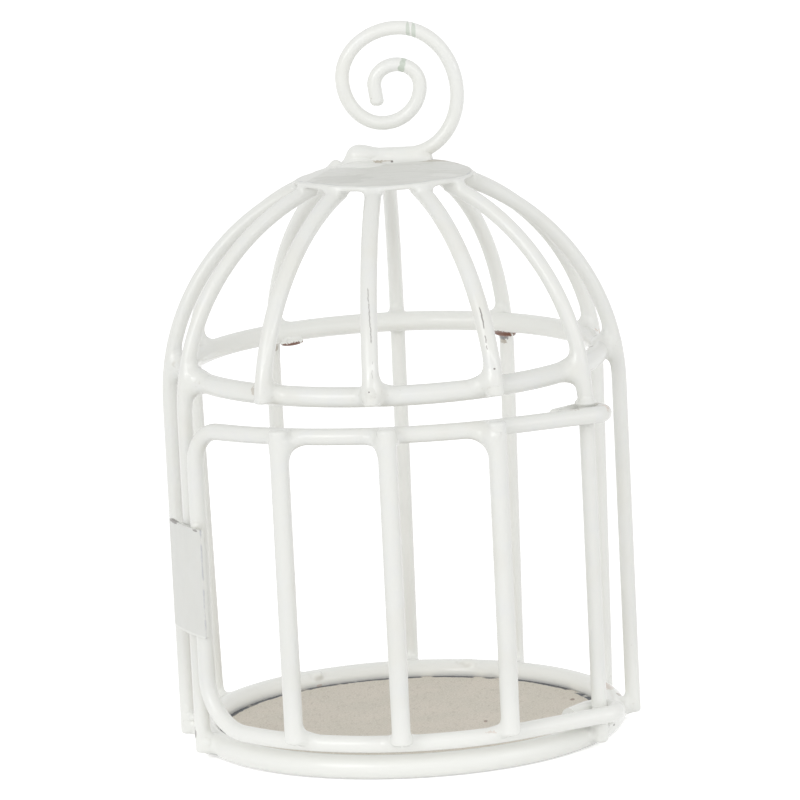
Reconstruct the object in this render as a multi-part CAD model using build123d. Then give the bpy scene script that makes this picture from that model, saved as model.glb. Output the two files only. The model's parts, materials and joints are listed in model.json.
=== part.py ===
from build123d import *
from math import acos, asin, cos, degrees, radians, sin, sqrt
import os

# A small domed cage of painted steel wire, with twelve ribs and a bowed door that
# swings on one of them. Millimetres. The origin is on the ground at the middle of
# the base ring, +Z is up and the door faces -Y. Bearings around the cage are in
# degrees from the front, positive towards +X.

# Wire and sheet stock
rib_wire = 1.9
short_rib_wire = 2.1
door_bar_wire = 2.35
door_frame_wire = 2.1
base_ring_wire = 3.0
upper_ring_wire = 2.55
scroll_wire = 1.8
wire_end_round = 0.4  # rounding of a cut end by its paint
weld_bite = 0.1  # depth to which one welded wire is let into the next

# Cage
rib_circle = 28.4  # radius of the circle on which the ribs' centre-lines stand
rib_count = 12
# Degrees by which each rib, spaced by eye, is off its even place, from the front one on past +X
rib_strays = (-3.1, -1.3, -1.1, 2.1, -3.7, 1.0, 1.1, 6.0, 7.5, 2.7, -5.0, -2.4)
# Degrees by which each rib leans about its weld on the upper ring, its foot past +X positive
rib_leans = (1.0, 0, 0, 0, 2.0, 1.0, 0.5, 0, -2.0, 0, 0, 0)
dome_spring = 44.0  # height at which the ribs begin to bend inwards
foot_rise = 0.9  # height of the cut feet above the ground
upper_ring_height = 48.15
upper_ring_dip_angle = 0.3  # by which the upper ring is tilted down at the front
short_rib_drop = 0.75  # how far the ribs over the door reach below the upper ring's centre
doorway_ribs = 2  # from the front rib to the post at each side of the doorway

# Cap plate
cap_radius = 11.3
cap_thickness = 0.8
cap_edge_round = 0.3
rib_lap = 1.7  # how far the ribs reach in under the cap
rib_top_cut = 0.5  # depth ground off the tips of the ribs to seat the cap

# Floor
floor_thickness = 1.1  # its underside is flush with the base ring's
floor_gap = 0.12  # air between the floor and the ring that it drops into

# Scroll on top, in a plane parallel to the doorway
scroll_inset = 1.9  # from the back edge of the cap in to the scroll's plane
scroll_foot_left = 4.1  # length of the foot on each side of the cage's middle
scroll_foot_right = 2.9
scroll_end_round = 0.6
scroll_rise = 16.1
# Where the wire turns from level to upright and back, across and up, in shares of the rise
scroll_turns = (
    (0.58, 0.47),
    (0.13, 1.0),
    (-0.32, 0.61),
    (-0.01, 0.25),
    (0.29, 0.54),
    (0.11, 0.71),
    (-0.07, 0.55),
)
scroll_tip = (-0.05, 0.39)

# Door
door_top_drop = 5.4  # from the upper ring's centre down to the top rail's hook
top_rail_arch_angle = 3.2  # by which the top rail is tilted up at the front
door_bottom = 4.8  # height of the bottom rail's centre-line
door_top_corner = 4.5
door_bottom_corner = 6.5
door_corner_straight = 0.6  # straight wire between a corner and the bow of the rails
door_side_gap = 1.0  # air between the door's upright and the post beside it
hinge_gap = 0.12  # air all round the post inside the hinge hooks
hook_wrap_angle = 205.0
hook_tail = 3.8
door_bar_count = 3
door_bar_spacing_angle = 26.6
door_bar_middle_bearing = 0.3
door_bar_top_overrun = 1.2  # past the centre-line of the top rail
door_bar_bottom_lift = 0.35  # from the centre-line of the bottom rail up to the bars' ends

# Latch plate, which laps over the post when the door is shut
latch_height = 13.8
latch_width = 10.0
latch_thickness = 0.45
latch_middle_height = 23.6
latch_margin = 2.9  # past the upright's centre-line, towards the door bars
latch_corner_round = 0.4
latch_gap = 0.25  # air between the plate and the post

# Derived places
rib_radius = rib_wire / 2
short_rib_circle = rib_circle + (short_rib_wire - rib_wire) / 2
rib_bearings = [360 / rib_count * number + stray for number, stray in enumerate(rib_strays)]
hinge_bearing = rib_bearings[doorway_ribs]
post_bearing = rib_bearings[-doorway_ribs] - 360
base_ring_radius = rib_circle - rib_radius - base_ring_wire / 2 + weld_bite
base_ring_height = base_ring_wire / 2
upper_ring_reach = rib_circle - rib_radius - upper_ring_wire / 2 + weld_bite
upper_ring_radius = sqrt(upper_ring_reach**2 - (upper_ring_height - dome_spring) ** 2)
short_rib_start = degrees(
    asin((upper_ring_height - short_rib_drop - dome_spring) / short_rib_circle)
)
dome_end = degrees(acos((cap_radius - rib_lap) / rib_circle))
rib_tip = dome_spring + (rib_circle + rib_radius) * sin(radians(dome_end))
cap_underside = rib_tip - rib_top_cut
cap_top = cap_underside + cap_thickness

door_top = upper_ring_height - door_top_drop
latch_inner = rib_circle + rib_radius + latch_gap
door_side_radius = latch_inner + weld_bite - door_frame_wire / 2
door_side_distance = rib_radius + door_side_gap + door_frame_wire / 2
door_side_bearing = post_bearing + degrees(
    acos(
        (rib_circle**2 + door_side_radius**2 - door_side_distance**2)
        / (2 * rib_circle * door_side_radius)
    )
)
door_side_run = max(door_top_corner, door_bottom_corner) + door_corner_straight
bow_radius = sqrt(door_side_radius**2 - door_side_run**2)
bow_start = door_side_bearing + degrees(acos(bow_radius / door_side_radius))
hook_radius = rib_radius + hinge_gap + door_frame_wire / 2
bow_end = hinge_bearing - degrees(acos((bow_radius - hook_radius) / rib_circle))
door_bar_circle = bow_radius + door_frame_wire / 2 + door_bar_wire / 2 - weld_bite


def around(radius, bearing, height=0.0):
    """The point at a radius and bearing around the cage's axis."""
    turn = radians(bearing)
    return Vector(radius * sin(turn), -radius * cos(turn), height)


def bent_wire(path, diameter):
    """A round wire along a path."""
    section = Plane(origin=path @ 0, z_dir=path % 0) * Circle(diameter / 2)
    return sweep(section, path=path)


def round_foot(wire):
    """The wire with its lowest cut end rounded."""
    foot = wire.faces().filter_by(GeomType.PLANE).sort_by(Axis.Z)[0]
    return fillet(foot.edges(), wire_end_round)


def ring(radius, height, diameter, dip_angle=0.0):
    """A hoop of round wire, butt-welded so that no joint shows."""
    return Pos(0, 0, height) * Rot(dip_angle, 0, 0) * Torus(radius, diameter / 2)


def dome_arc(circle, start):
    """The quarter-circle bend of a rib in the XZ plane, from an angle up to the cap."""
    return CenterArc((0, dome_spring), circle, start, dome_end - start)


def full_rib():
    upright = Line((rib_circle, foot_rise), (rib_circle, dome_spring))
    return bent_wire(Plane.XZ * Wire([upright, dome_arc(rib_circle, 0)]), rib_wire)


def short_rib():
    path = Plane.XZ * Wire([dome_arc(short_rib_circle, short_rib_start)])
    return bent_wire(path, short_rib_wire)


def stood_rib(wire, bearing, lean, seats):
    """A rib at its bearing, with a saddle ground into it wherever it is welded."""
    weld = Axis((0, 0, upper_ring_height), (1, 0, 0))
    return Rot(0, 0, bearing - 90) * round_foot(wire).rotate(weld, lean) - seats


def cap_plate():
    blank = Pos(0, 0, cap_underside + cap_thickness / 2) * Cylinder(cap_radius, cap_thickness)
    return fillet(blank.edges(), cap_edge_round)


def floor_disc():
    radius = base_ring_radius - base_ring_wire / 2 - floor_gap
    return Pos(0, 0, floor_thickness / 2) * Cylinder(radius, floor_thickness)


def scroll_path():
    """The foot, then one quarter of an ellipse for each turn between level and upright."""
    edges = [Line((-scroll_foot_left, 0), (scroll_foot_right, 0))]
    start = Vector(scroll_foot_right, 0)
    for number, turn in enumerate(scroll_turns):
        end = Vector(*turn) * scroll_rise
        centre = (start.X, end.Y) if number % 2 == 0 else (end.X, start.Y)
        half_width = abs(end.X - start.X)
        half_height = abs(end.Y - start.Y)
        first_angle = 90 * number - 90
        edges.append(EllipticalCenterArc(centre, half_width, half_height, first_angle, arc_size=90))
        start = end
    edges.append(Line(start, Vector(*scroll_tip) * scroll_rise))
    return Wire(edges)


def scroll_finial(seat):
    height = cap_top + scroll_wire / 2 - weld_bite
    setback = cap_radius - scroll_inset
    frame = Plane(origin=(0, setback, height), x_dir=(1, 0, 0), z_dir=(0, -1, 0))
    wire = bent_wire(frame * scroll_path(), scroll_wire)
    ends = wire.faces().filter_by(GeomType.PLANE).edges()
    return fillet(ends, scroll_end_round) - seat


def door_rail(height, corner, arch_angle=0.0):
    """One rail: in from the upright, round the bow, out past the post and hooked on it.

    It is tilted about the line through the post that runs across the doorway. The
    first run starts where the corner ends, and the side is the corner's unbent point.
    """
    side = around(door_side_radius, door_side_bearing, height)
    bow = CenterArc((0, 0, height), bow_radius, bow_start - 90, bow_end - bow_start)
    run_in = (bow @ 0 - side).normalized()
    post = around(rib_circle, hinge_bearing, height)
    hook = CenterArc(post, hook_radius, bow_end - 90, hook_wrap_angle)
    tail_end = hook @ 1 + (hook % 1) * hook_tail
    edges = [
        Line(side + run_in * corner, bow @ 0),
        bow,
        Line(bow @ 1, hook @ 0),
        hook,
        Line(hook @ 1, tail_end),
    ]
    tilted = [edge.rotate(Axis(post, (1, 0, 0)), -arch_angle) for edge in edges]
    first_run = tilted[0]
    return tilted, first_run @ 0 - (first_run % 0) * corner


def door_frame():
    top_edges, top_side = door_rail(door_top, door_top_corner, top_rail_arch_angle)
    bottom_edges, bottom_side = door_rail(door_bottom, door_bottom_corner)
    upright_top = top_side - Vector(0, 0, door_top_corner)
    upright_bottom = bottom_side + Vector(0, 0, door_bottom_corner)
    up = Vector(0, 0, 1)
    upright = [
        TangentArc(upright_bottom, bottom_edges[0] @ 0, tangent=-up),
        Line(upright_bottom, upright_top),
        TangentArc(upright_top, top_edges[0] @ 0, tangent=up),
    ]
    return bent_wire(Wire(bottom_edges + upright + top_edges), door_frame_wire)


def door_bar(bearing, seat):
    place = around(door_bar_circle, bearing)
    forward = around(rib_circle, hinge_bearing).Y - around(bow_radius, bearing).Y
    arch = forward * sin(radians(top_rail_arch_angle))
    foot = door_bottom + door_bar_bottom_lift
    length = door_top + arch + door_bar_top_overrun - foot
    bar = Pos(place.X, place.Y, foot + length / 2) * Cylinder(door_bar_wire / 2, length)
    return fillet(bar.edges().filter_by(GeomType.CIRCLE), wire_end_round) - seat


def latch_plate(seat):
    outer = latch_inner + latch_thickness
    right = door_side_bearing + degrees(latch_margin / latch_inner)
    span = degrees(latch_width / latch_inner)
    inner_arc = CenterArc((0, 0), latch_inner, right - 90 - span, span)
    outer_arc = CenterArc((0, 0), outer, right - 90 - span, span)
    sides = [Line(inner_arc @ 0, outer_arc @ 0), Line(inner_arc @ 1, outer_arc @ 1)]
    section = make_face([inner_arc, outer_arc] + sides)
    plate = Pos(0, 0, latch_middle_height - latch_height / 2) * extrude(section, latch_height)
    corners = plate.edges().filter_by(
        lambda edge: edge.geom_type == GeomType.LINE and edge.length < 1.5 * latch_thickness
    )
    return fillet(corners, latch_corner_round) - seat


def cage_pieces():
    """The fixed cage: hoops, floor, cap, scroll and one rib for each meridian."""
    base = ring(base_ring_radius, base_ring_height, base_ring_wire)
    upper = ring(upper_ring_radius, upper_ring_height, upper_ring_wire, upper_ring_dip_angle)
    cap = cap_plate()
    full = full_rib()
    short = short_rib()
    seats = base + upper + cap
    pieces = {
        "base_ring": base,
        "floor_disc": floor_disc(),
        "upper_ring": upper,
        "cap_plate": cap,
        "scroll_finial": scroll_finial(cap),
    }
    for number, bearing in enumerate(rib_bearings):
        over_door = min(number, rib_count - number) < doorway_ribs
        name = ("short_rib_" if over_door else "full_rib_") + f"{number + 1:02d}"
        wire = short if over_door else full
        pieces[name] = stood_rib(wire, bearing, rib_leans[number], seats)
    return pieces


def door_pieces():
    """The door: one bent frame, its bars and the plate that stops it against the post."""
    frame = door_frame()
    pieces = {"door_frame": frame, "latch_plate": latch_plate(frame)}
    for number in range(door_bar_count):
        place = number - (door_bar_count - 1) / 2
        bearing = door_bar_middle_bearing + place * door_bar_spacing_angle
        pieces[f"door_bar_{number + 1}"] = door_bar(bearing, frame)
    return pieces


os.makedirs("parts", exist_ok=True)
for name, solid in {**cage_pieces(), **door_pieces()}.items():
    export_step(solid, f"parts/{name}.step")
    print(name, round(solid.volume, 2), "mm3")
print("hinge axis at", tuple(around(rib_circle, hinge_bearing)))
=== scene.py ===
import json
import math

import bpy
import numpy as np
from mathutils import Matrix, Vector

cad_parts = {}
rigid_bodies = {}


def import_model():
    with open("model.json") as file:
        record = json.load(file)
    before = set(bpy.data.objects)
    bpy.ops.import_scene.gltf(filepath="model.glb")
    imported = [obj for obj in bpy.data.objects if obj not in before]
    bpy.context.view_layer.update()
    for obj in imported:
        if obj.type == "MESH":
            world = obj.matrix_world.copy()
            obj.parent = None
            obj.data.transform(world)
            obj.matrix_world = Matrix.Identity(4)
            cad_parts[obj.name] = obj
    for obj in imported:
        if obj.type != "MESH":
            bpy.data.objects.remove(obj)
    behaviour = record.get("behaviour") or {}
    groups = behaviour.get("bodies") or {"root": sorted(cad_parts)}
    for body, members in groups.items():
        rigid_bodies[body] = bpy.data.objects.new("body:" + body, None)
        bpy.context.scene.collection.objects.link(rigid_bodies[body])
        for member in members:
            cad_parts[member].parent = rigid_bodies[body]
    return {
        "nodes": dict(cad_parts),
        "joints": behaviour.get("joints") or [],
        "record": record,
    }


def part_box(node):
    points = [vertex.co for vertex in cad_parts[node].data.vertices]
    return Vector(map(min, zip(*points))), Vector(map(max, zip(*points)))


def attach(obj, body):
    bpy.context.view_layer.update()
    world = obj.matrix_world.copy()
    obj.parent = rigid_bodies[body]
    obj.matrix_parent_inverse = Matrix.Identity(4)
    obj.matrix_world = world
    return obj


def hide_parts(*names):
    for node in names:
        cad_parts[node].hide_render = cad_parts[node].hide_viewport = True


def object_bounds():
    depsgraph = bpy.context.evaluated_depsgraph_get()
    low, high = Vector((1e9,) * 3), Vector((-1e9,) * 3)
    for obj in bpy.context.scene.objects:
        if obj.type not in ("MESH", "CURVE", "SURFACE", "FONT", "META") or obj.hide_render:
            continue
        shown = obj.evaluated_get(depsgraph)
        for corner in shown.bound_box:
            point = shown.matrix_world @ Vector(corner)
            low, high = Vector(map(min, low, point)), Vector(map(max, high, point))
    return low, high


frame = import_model()
for thing in list(bpy.data.objects):
    if thing.type in {"MESH", "CAMERA", "LIGHT"} and thing.name not in frame["nodes"]:
        bpy.data.objects.remove(thing)
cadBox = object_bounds()
mm = 0.001
hair = 0.001 * mm
upward = np.array([0, 0, 1.0])
print("frame loaded,", len(frame["nodes"]), "pieces")


# where the cage's wires lie, read off the frame
def cornersOf(node):
    mesh = frame["nodes"][node].data
    flat = np.empty(len(mesh.vertices) * 3, np.float32)
    mesh.vertices.foreach_get("co", flat)
    return flat.reshape(-1, 3).astype(float)


sliceHalf = 0.8 * mm  # half the slice in which a hoop's wire is measured


def hoopOf(node):  # centre-line, half thickness and tip about the line along X through its middle
    corners = cornersOf(node)
    side = corners[(np.abs(corners[:, 1]) < sliceHalf) & (corners[:, 0] > 0)]
    front = corners[(np.abs(corners[:, 0]) < sliceHalf) & (corners[:, 1] < 0)]
    wire = (side[:, 2].max() - side[:, 2].min()) / 2
    height = (side[:, 2].max() + side[:, 2].min()) / 2
    radius = side[:, 0].max() - wire
    drop = height - (front[:, 2].max() + front[:, 2].min()) / 2
    return {
        "radius": radius,
        "height": height,
        "wire": wire,
        "tip": math.asin(drop / radius),
        "axle": (0.0, height),
    }


def ribOf(node):
    # a rib lies in a plane through the upper hoop's middle, and its corners spread least across it
    corners = cornersOf(node)
    outward = corners.mean(0)
    spread = corners - np.array([0, 0, upperHoop["height"]])
    across = np.linalg.svd(spread, full_matrices=False)[2][2]
    across *= np.sign(across @ np.array([-outward[1], outward[0], 0]))
    rib = {"bearing": math.atan2(across[1], across[0]), "lean": math.asin(across[2])}
    out, _, upright = inRibPlane(corners, rib)
    bend = upright > domeSpring - hair
    reach = np.hypot(out, upright - domeSpring)[bend]
    rib["circle"] = (reach.max() + reach.min()) / 2
    rib["wire"] = (reach.max() - reach.min()) / 2
    rib["foot"] = upright.min()
    rib["tip"] = np.arctan2(upright - domeSpring, out).max()
    rib["full"] = node.startswith("full")
    return rib


def inRibPlane(p, rib):  # outwards, across and up in the rib's own frame, before it leans
    turn, lean = rib["bearing"], rib["lean"]
    outward = p[..., 0] * math.sin(turn) - p[..., 1] * math.cos(turn)
    aside = p[..., 0] * math.cos(turn) + p[..., 1] * math.sin(turn)
    above = p[..., 2] - upperHoop["height"]
    across = aside * math.cos(lean) + above * math.sin(lean)
    return outward, across, above * math.cos(lean) - aside * math.sin(lean) + upperHoop["height"]


def barOf(node):
    low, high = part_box(node)
    middle = (low + high) / 2
    return {
        "x": middle.x,
        "y": middle.y,
        "wire": (high.x - low.x) / 2,
        "low": low.z,
        "high": high.z,
        "bearing": math.atan2(middle.x, -middle.y),
    }


def springOf(node):  # the height at which an upright rib begins to bend: its outermost corners end there
    corners = cornersOf(node)
    reach = np.hypot(corners[:, 0], corners[:, 1])
    return corners[reach > reach.max() - hair, 2].max()


baseHoop = hoopOf("base_ring")
upperHoop = hoopOf("upper_ring")
domeSpring = springOf("full_rib_04")
ribs = {name: ribOf(name) for name in sorted(frame["nodes"]) if "_rib_" in name}
bars = {name: barOf(name) for name in sorted(frame["nodes"]) if name.startswith("door_bar_")}
hinge = Vector(frame["joints"][0]["pos_m"])
capLow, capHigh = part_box("cap_plate")
scrollLow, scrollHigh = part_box("scroll_finial")
doorLow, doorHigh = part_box("door_frame")
door = {"wire": 1.05 * mm, "archAngle": 3.2}  # half the frame's wire, the degrees its top rail is tipped
door["bow"] = -doorLow.y - door["wire"]
door["arch"] = math.radians(door["archAngle"])
door["top"] = doorHigh.z - door["wire"] - (door["bow"] + hinge.y) * math.sin(door["arch"])
door["bottom"] = doorLow.z + door["wire"]
topRail = {
    "radius": door["bow"], "height": door["top"], "wire": door["wire"],
    "tip": -door["arch"], "axle": (hinge.y, door["top"]),
}
bottomRail = {**topRail, "height": door["bottom"], "tip": 0.0, "axle": (0.0, door["bottom"])}
print("wires measured:", len(ribs), "ribs and", len(bars), "door bars")


# distances from the bare wires, below nought inside them
def cutOff(distance, beyond, softness):
    # both distances are pushed out by the softness, the corner between them is rounded
    # by it, and the result is drawn back by it
    a = distance + softness
    b = beyond + softness
    corner = np.hypot(np.maximum(a, 0), np.maximum(b, 0))
    return corner + np.minimum(np.maximum(a, b), 0) - softness


def fromHoop(p, hoop):
    # the point is tipped back about the hoop's axle, and the length from the hoop's centre-line
    # is taken in the upright plane through the point, less its wire
    back, above = p[..., 1] - hoop["axle"][0], p[..., 2] - hoop["axle"][1]
    deep = hoop["axle"][0] + back * math.cos(hoop["tip"]) + above * math.sin(hoop["tip"])
    high = hoop["axle"][1] + above * math.cos(hoop["tip"]) - back * math.sin(hoop["tip"])
    return np.hypot(np.hypot(p[..., 0], deep) - hoop["radius"], high - hoop["height"]) - hoop["wire"]


wireEndRound = 0.4 * mm


def fromRib(p, rib):
    # out along the rib's bearing below the spring and out from the dome's middle above it
    outward, across, upright = inRibPlane(p, rib)
    above = upright - domeSpring
    reach = np.where(above > 0, np.hypot(outward, above), outward)
    distance = np.hypot(reach - rib["circle"], across) - rib["wire"]
    pastTip = above * math.cos(rib["tip"]) - outward * math.sin(rib["tip"])
    return np.maximum(cutOff(distance, rib["foot"] - upright, wireEndRound), pastTip)


def fromBar(p, bar):
    distance = np.hypot(p[..., 0] - bar["x"], p[..., 1] - bar["y"]) - bar["wire"]
    ends = np.maximum(bar["low"] - p[..., 2], p[..., 2] - bar["high"])
    return cutOff(distance, ends, wireEndRound)


cap = {  # in millimetres: how the sheet is hammered down towards its rim, its edge, dents and rows
    "leftFrom": 7.2, "leftDrop": 0.76, "leftSlant": 0.25,
    "rightFrom": 6.5, "rightDrop": 0.42, "frontFrom": 8.0, "frontDrop": 0.15, "bendPower": 1.3,
    "edgeRound": 0.3, "cornerRound": 0.2, "thinnest": 0.1,
    "dents": 0.05, "dentWaves": (900, 500, 700), "dentTwist": 3, "dentShift": 2, "flatRim": 4,
    "topRows": 60, "rimRows": 12, "underRows": 10, "around": 360,
}


def capTop(x, y):
    # the flat top less a drop past each line across the sheet, by a power of the way to the rim
    drop = 0
    leftward = (cap["leftSlant"] * y - x) / math.hypot(1, cap["leftSlant"])
    for side, along in (("left", leftward), ("right", x), ("front", -y)):
        start = cap[side + "From"] * mm
        share = np.clip((along - start) / (capHigh.x - start), 0, 1)
        drop = drop + cap[side + "Drop"] * mm * share ** cap["bendPower"]
    return capHigh.z - drop


def fromCap(p):
    side = np.hypot(p[..., 0], p[..., 1]) - capHigh.x
    face = np.maximum(p[..., 2] - capTop(p[..., 0], p[..., 1]), capLow.z - p[..., 2])
    return cutOff(side, face, cap["cornerRound"] * mm)


scrollFoot = {
    "left": -4.1 * mm, "right": 2.9 * mm, "turnAcross": 6.44 * mm, "turnUp": 7.57 * mm,
    "turnShare": 0.95, "sunk": 0.1 * mm, "endRound": 0.5 * mm,
}
scrollFoot["wire"] = (scrollHigh.y - scrollLow.y) / 2
scrollFoot["y"] = (scrollHigh.y + scrollLow.y) / 2
scrollFoot["z"] = capHigh.z + scrollFoot["wire"] - scrollFoot["sunk"]


def fromScrollFoot(p):
    # a level wire that rises along a quarter of an ellipse past the right end of the foot
    along = (p[..., 0] - scrollFoot["right"]) / scrollFoot["turnAcross"]
    along = np.clip(along, 0, scrollFoot["turnShare"])
    rise = scrollFoot["turnUp"] * (1 - np.sqrt(1 - along**2))
    slope = scrollFoot["turnUp"] * along / np.sqrt(1 - along**2) / scrollFoot["turnAcross"]
    above = (p[..., 2] - scrollFoot["z"] - rise) / np.hypot(1, slope)
    distance = np.hypot(p[..., 1] - scrollFoot["y"], above) - scrollFoot["wire"]
    return cutOff(distance, scrollFoot["left"] - p[..., 0], scrollFoot["endRound"])


def fromEgg(p, centre, axes, half):  # an egg of paint, by its middle, its three ways and half lengths
    away = (p - centre) @ np.array(axes).T / half
    first = np.linalg.norm(away, axis=-1)
    second = np.linalg.norm(away / half, axis=-1)
    return first * (first - 1) / np.maximum(second, 1e-9)  # the floor keeps the egg's very middle finite


def melted(a, b, pull):  # the lesser of two distances, less where they are within the pull of each other
    return np.minimum(a, b) - pull / 4 * np.maximum(1 - np.abs(a - b) / pull, 0) ** 2


def hammeredSheet():
    # top, rim and underside as one profile turned round the cage's axis: the top lies on capTop
    # with shallow dents, and the rim is half an ellipse as high as the sheet is thick there
    around = np.linspace(0, 2 * math.pi, cap["around"], endpoint=False)[None, :]
    inner = capHigh.x - cap["edgeRound"] * mm
    topShare = (np.arange(cap["topRows"])[:, None] + 0.5) / cap["topRows"]
    rimTurn = np.linspace(math.pi / 2, -math.pi / 2, cap["rimRows"])[:, None]
    underShare = 1 - (np.arange(cap["underRows"])[:, None] + 0.5) / cap["underRows"]
    rimReach = inner + cap["edgeRound"] * mm * np.cos(rimTurn)
    reach = np.concatenate([inner * topShare, rimReach, inner * underShare]) + 0 * around
    x, y = reach * np.sin(around), -reach * np.cos(around)
    first, bend, second = cap["dentWaves"]
    dents = np.sin(first * x + cap["dentTwist"] * np.sin(bend * y)) * np.sin(second * y + cap["dentShift"])
    dents = dents * cap["dents"] * mm * (1 - (reach / capHigh.x) ** cap["flatRim"])
    top = capTop(x, y) + dents - cap["dents"] * mm
    top = np.maximum(top, capLow.z + cap["thinnest"] * mm)
    share = np.concatenate([topShare * 0 + 1, (np.sin(rimTurn) + 1) / 2, underShare * 0])
    return np.stack([x, y, capLow.z + share * (top - capLow.z)], -1)


def addPiece(name, grids, body, finish):
    # each grid is closed along its rows and ends in two poles, each the mean of an end row
    corners, faces, start = [], [], 0
    for grid in grids:
        rows, columns = grid.shape[:2]
        index = start + np.arange(rows * columns).reshape(rows, columns)
        right = np.roll(index, -1, axis=1)
        quads = np.stack([index[:-1], right[:-1], right[1:], index[1:]], -1).reshape(-1, 4)
        first, last = start + rows * columns, start + rows * columns + 1
        faces += quads.tolist()
        faces += np.stack([np.full(columns, first), right[0], index[0]], -1).tolist()
        faces += np.stack([np.full(columns, last), index[-1], right[-1]], -1).tolist()
        corners += [grid.reshape(-1, 3), grid[0].mean(0)[None], grid[-1].mean(0)[None]]
        start = last + 1
    points = np.concatenate(corners)
    mesh = bpy.data.meshes.new(name)
    mesh.from_pydata(points, [], outward(points, faces))
    mesh.polygons.foreach_set("use_smooth", [True] * len(faces))
    mesh.materials.append(finish)
    mesh.update()
    piece = bpy.data.objects.new(name, mesh)
    bpy.context.scene.collection.objects.link(piece)
    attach(piece, body)
    print("made", name, "with", len(mesh.polygons), "faces")
    return piece


def outward(points, faces):  # the faces, turned over if the volume that they enclose is negative
    threes = np.array([face[:3] for face in faces] + [(f[0], f[2], f[3]) for f in faces if len(f) == 4])
    a, b, c = points[threes].transpose(1, 0, 2)
    volume = np.einsum("ij,ij->", a, np.cross(b, c))
    return faces if volume > 0 else [face[::-1] for face in faces]


# paint drawn by its own surface tension into the corners between two wires
weldPaint = {
    "around": 132, "across": 62, "steps": 34, "halvings": 12,
    "unevenness": 0.06, "pullSpread": (0.9, 1.1), "eggUnevenness": 0.1,
    "inset": 0.022 * mm, "heartDepth": 0.05 * mm, "reach": 4.2 * mm,
}
chance = np.random.default_rng(7)


def lumpOfPaint(shape, heart, normal, along, reach, stretch=0.0):
    # Rays leave a heart inside the paint, by a turn around the normal and a lean away from it,
    # and the surface is where each first leaves the shape, or at its reach inside a wire. The
    # rays start apart by the stretch along a long lump.
    turn = np.linspace(0, 2 * math.pi, weldPaint["around"], endpoint=False)[None, :, None]
    lean = (np.arange(weldPaint["across"])[:, None, None] + 0.5) * math.pi / weldPaint["across"]
    normal, along = np.array(normal), np.array(along)
    across = np.cross(along, normal)
    level = np.cos(turn) * along + np.sin(turn) * across
    direction = np.cos(lean) * normal + np.sin(lean) * level
    origin = np.array(heart) + stretch * (direction @ along)[..., None] * along
    near = np.zeros(direction.shape[:-1])
    inside = np.ones(near.shape, bool)
    step = reach / weldPaint["steps"]
    for _ in range(weldPaint["steps"]):
        inside &= shape(origin + (near + step)[..., None] * direction) < -weldPaint["inset"]
        near = np.where(inside, near + step, near)
    far = np.minimum(near + step, reach)
    for _ in range(weldPaint["halvings"]):
        middle = (near + far) / 2
        held = shape(origin + middle[..., None] * direction) < -weldPaint["inset"]
        near, far = np.where(held, middle, near), np.where(held, far, middle)
    return origin + near[..., None] * direction


def waves(strength):  # a closed curve about 1, uneven by a few random waves
    pulls = [strength / n * chance.uniform(0.3, 1) for n in (1, 2, 3)]
    starts = chance.uniform(0, 6.28, 3)
    return lambda angle: 1 + sum(h * np.sin(n * angle + s) for n, h, s in zip((1, 2, 3), pulls, starts))


def pullAround(p, contact, normal, along, pulls, wave):
    # a pull in each of four corners, each weighted by the square of the cosine to its own way
    away = p - contact
    angle = np.arctan2(away @ np.cross(along, normal), away @ along)
    total = 0 * angle
    for way, pull in zip(np.radians([45, 135, -135, -45]), pulls):
        total += pull * np.maximum(np.cos(angle - way), 0) ** 2
    return total * mm * wave(angle)


def weldOf(first, second, contact, normal, along, pulls, reach=weldPaint["reach"], stretch=0.0, lid=None):
    # two wires melted into each other round their contact, less what a lid cuts off
    wave = waves(weldPaint["unevenness"])

    def shape(p):
        paintHere = melted(first(p), second(p), pullAround(p, contact, normal, along, pulls, wave))
        paintHere = np.maximum(paintHere, cadBox[0].y - p[..., 1])  # no prouder than the door's bars
        return np.maximum(paintHere, lid(p)) if lid else paintHere

    heart = contact - weldPaint["heartDepth"] * np.array(normal)
    return lumpOfPaint(shape, heart, normal, along, reach, stretch)


def outFrom(bearing, radius, height=0.0):  # a place at a bearing from the front, positive towards +X
    return np.array([radius * math.sin(bearing), -radius * math.cos(bearing), height])


def ribCrossing(hoop, rib):
    # where the rib crosses outside the hoop: the point between them, the way out and the way up
    rise = max(hoop["height"] - domeSpring, 0)
    tilt = math.atan2(rise, hoop["radius"])
    shift = math.asin((upperHoop["height"] - hoop["height"]) * math.sin(rib["lean"]) / hoop["radius"])
    out = outFrom(rib["bearing"] + shift, 1)
    normal = math.cos(tilt) * out + math.sin(tilt) * upward
    level = hoop["height"] + hoop["radius"] * math.sin(hoop["tip"]) * out[1]
    contact = hoop["radius"] * out + level * upward + hoop["wire"] * normal
    return contact, normal, math.cos(tilt) * upward - math.sin(tilt) * out


def beadOn(shape, egg, pull, reach):
    # an egg of paint run into what it sits on: its middle, its half lengths and its level long way
    middle = np.array(egg["at"]) * mm
    half = np.array(egg["half"]) * mm
    along = np.array(egg.get("along", (1, 0, 0)))
    axes = [along, np.cross(upward, along), upward]
    wave = waves(weldPaint["eggUnevenness"])

    def melt(p):
        away = p - middle
        angle = np.arctan2(away @ axes[1], away @ along)
        return melted(shape(p), fromEgg(p, middle, axes, half) / wave(angle), pull * mm)

    return lumpOfPaint(melt, middle, upward, along, reach * mm)


def ribWelds(hoop, pullsOf):
    welds = []
    for name, rib in ribs.items():
        if hoop is baseHoop and not rib["full"]:
            continue
        contact, normal, along = ribCrossing(hoop, rib)
        pulls = pullsOf.get(name) or pullsOf["others"] * chance.uniform(*weldPaint["pullSpread"], 4)
        shapes = (lambda p: fromHoop(p, hoop), lambda p: fromRib(p, rib))
        welds.append(weldOf(*shapes, contact, normal, along, pulls))
    return welds


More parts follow.
